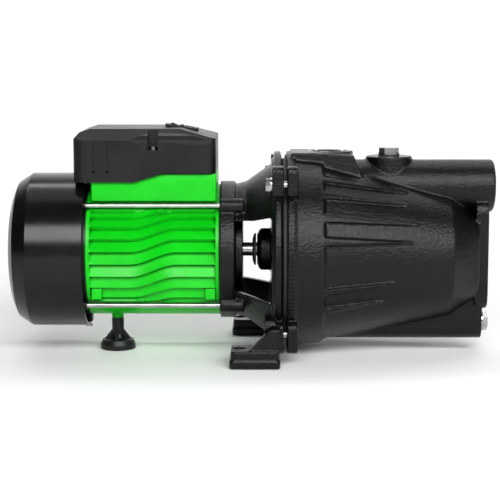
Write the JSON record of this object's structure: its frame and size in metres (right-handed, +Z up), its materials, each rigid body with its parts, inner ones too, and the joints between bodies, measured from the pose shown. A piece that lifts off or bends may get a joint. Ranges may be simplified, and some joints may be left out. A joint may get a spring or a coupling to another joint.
{
  "type": "centrifugal water pump",
  "caption": "self-priming jet pump: cast body with top and end ports on a lantern bracket, driven by a finned electric motor with terminal box, fan cowl and support foot",
  "frame": {"origin": "on the floor, midway between the bolt holes of the two bracket feet", "axes": "+X along the shaft towards the suction port, +Z up, +Y away from the side with the plain wall"},
  "size_m": [0.418, 0.1812, 0.1996],
  "materials": {
    "green_paint": "gloss",
    "black_iron": "textured black paint",
    "gloss_black_plastic": "gloss",
    "satin_black_plastic": "satin",
    "zinc_steel": "bright zinc",
    "stainless": "ground",
    "bearing_steel": "polished",
    "bare_aluminium": "die cast",
    "lamination_steel": "stacked sheets",
    "enamelled_copper": "varnished",
    "brass": "machined",
    "black_rubber": "matte",
    "moulded_plastic": "moulded",
    "seal_ceramic": "lapped",
    "seal_carbon": "lapped",
    "black_enamel": "black enamel"
  },
  "bodies": {
    "pump": {"motor_housing": "green_paint", "bracket": "black_iron", "pump_body": "black_iron", "fan_cover": "gloss_black_plastic", "terminal_box_cover": "satin_black_plastic", "motor_foot": "satin_black_plastic", "cable_gland": "satin_black_plastic", "cable_gland_nut": "satin_black_plastic", "cable_gland_locknut": "satin_black_plastic", "switch_body": "satin_black_plastic", "terminal_block": "satin_black_plastic", "tie_rods": "zinc_steel", "tie_rod_washers": "zinc_steel", "flange_bolts": "zinc_steel", "flange_washers": "zinc_steel", "cover_screws": "zinc_steel", "fan_cover_screws": "zinc_steel", "foot_screw": "zinc_steel", "terminal_screws": "zinc_steel", "capacitor_clip": "zinc_steel", "preload_washer": "zinc_steel", "rear_bearing_outer_ring": "bearing_steel", "front_bearing_outer_ring": "bearing_steel", "stator_core": "lamination_steel", "stator_windings": "enamelled_copper", "nozzle": "brass", "seal_seat_boot": "black_rubber", "venturi_seal": "black_rubber", "flange_gasket": "black_rubber", "terminal_box_gasket": "black_rubber", "diffuser": "moulded_plastic", "venturi_tube": "moulded_plastic", "capacitor": "moulded_plastic", "seal_seat": "seal_ceramic", "rear_end_shield": "black_enamel"},
    "rotor": {"shaft": "stainless", "rotor_core": "lamination_steel", "rotor_cage": "bare_aluminium", "cooling_fan": "satin_black_plastic", "fan_circlip": "stainless", "impeller": "brass", "impeller_key": "stainless", "impeller_nut": "stainless", "impeller_washer": "zinc_steel", "slinger": "black_rubber", "seal_face": "seal_carbon", "seal_bellows": "black_rubber", "seal_spring": "stainless", "rear_bearing_inner_ring": "bearing_steel", "front_bearing_inner_ring": "bearing_steel"},
    "rear_balls": {"rear_bearing_balls": "bearing_steel"},
    "front_balls": {"front_bearing_balls": "bearing_steel"},
    "priming_seal": {"priming_plug_washer": "black_rubber"},
    "priming_plug_turning": {"priming_plug": "zinc_steel"},
    "drain_seal": {"drain_plug_washer": "black_rubber"},
    "drain_plug_turning": {"drain_plug": "zinc_steel"},
    "rocker": {"switch_rocker": "gloss_black_plastic"}
  },
  "joints": [
    {"name": "shaft_spin", "type": "hinge", "parent": "pump", "child": "rotor", "pos_m": [0, 0, 0.0884], "axis": [1, 0, 0], "continuous": true},
    {"name": "rear_balls_orbit", "type": "hinge", "parent": "pump", "child": "rear_balls", "pos_m": [-0.136, 0, 0.0884], "axis": [1, 0, 0], "continuous": true},
    {"name": "front_balls_orbit", "type": "hinge", "parent": "pump", "child": "front_balls", "pos_m": [-0.011, 0, 0.0884], "axis": [1, 0, 0], "continuous": true},
    {"name": "priming_plug_lift", "type": "slide", "parent": "pump", "child": "priming_seal", "axis": [0, 0, 1], "range_m": [0, 0.0121]},
    {"name": "priming_plug_turn", "type": "hinge", "parent": "priming_seal", "child": "priming_plug_turning", "pos_m": [0.13, 0, 0.1734], "axis": [0, 0, 1], "range_deg": [0, 3240]},
    {"name": "drain_plug_travel", "type": "slide", "parent": "pump", "child": "drain_seal", "axis": [1, 0, 0], "range_m": [0, 0.0121]},
    {"name": "drain_plug_turn", "type": "hinge", "parent": "drain_seal", "child": "drain_plug_turning", "pos_m": [0.2125, 0, 0.0249], "axis": [1, 0, 0], "range_deg": [0, 3240]},
    {"name": "switch_rock", "type": "hinge", "parent": "pump", "child": "rocker", "pos_m": [-0.05, 0, 0.1949], "axis": [0, 1, 0], "range_deg": [-12, 0]}
  ],
  "couplings": [
    {"joint": "rear_balls_orbit", "follows": "shaft_spin", "ratio": 0.3659},
    {"joint": "front_balls_orbit", "follows": "shaft_spin", "ratio": 0.3659},
    {"joint": "priming_plug_lift", "follows": "priming_plug_turn", "m_per_rad": 0.00021327},
    {"joint": "drain_plug_travel", "follows": "drain_plug_turn", "m_per_rad": 0.00021327}
  ]
}
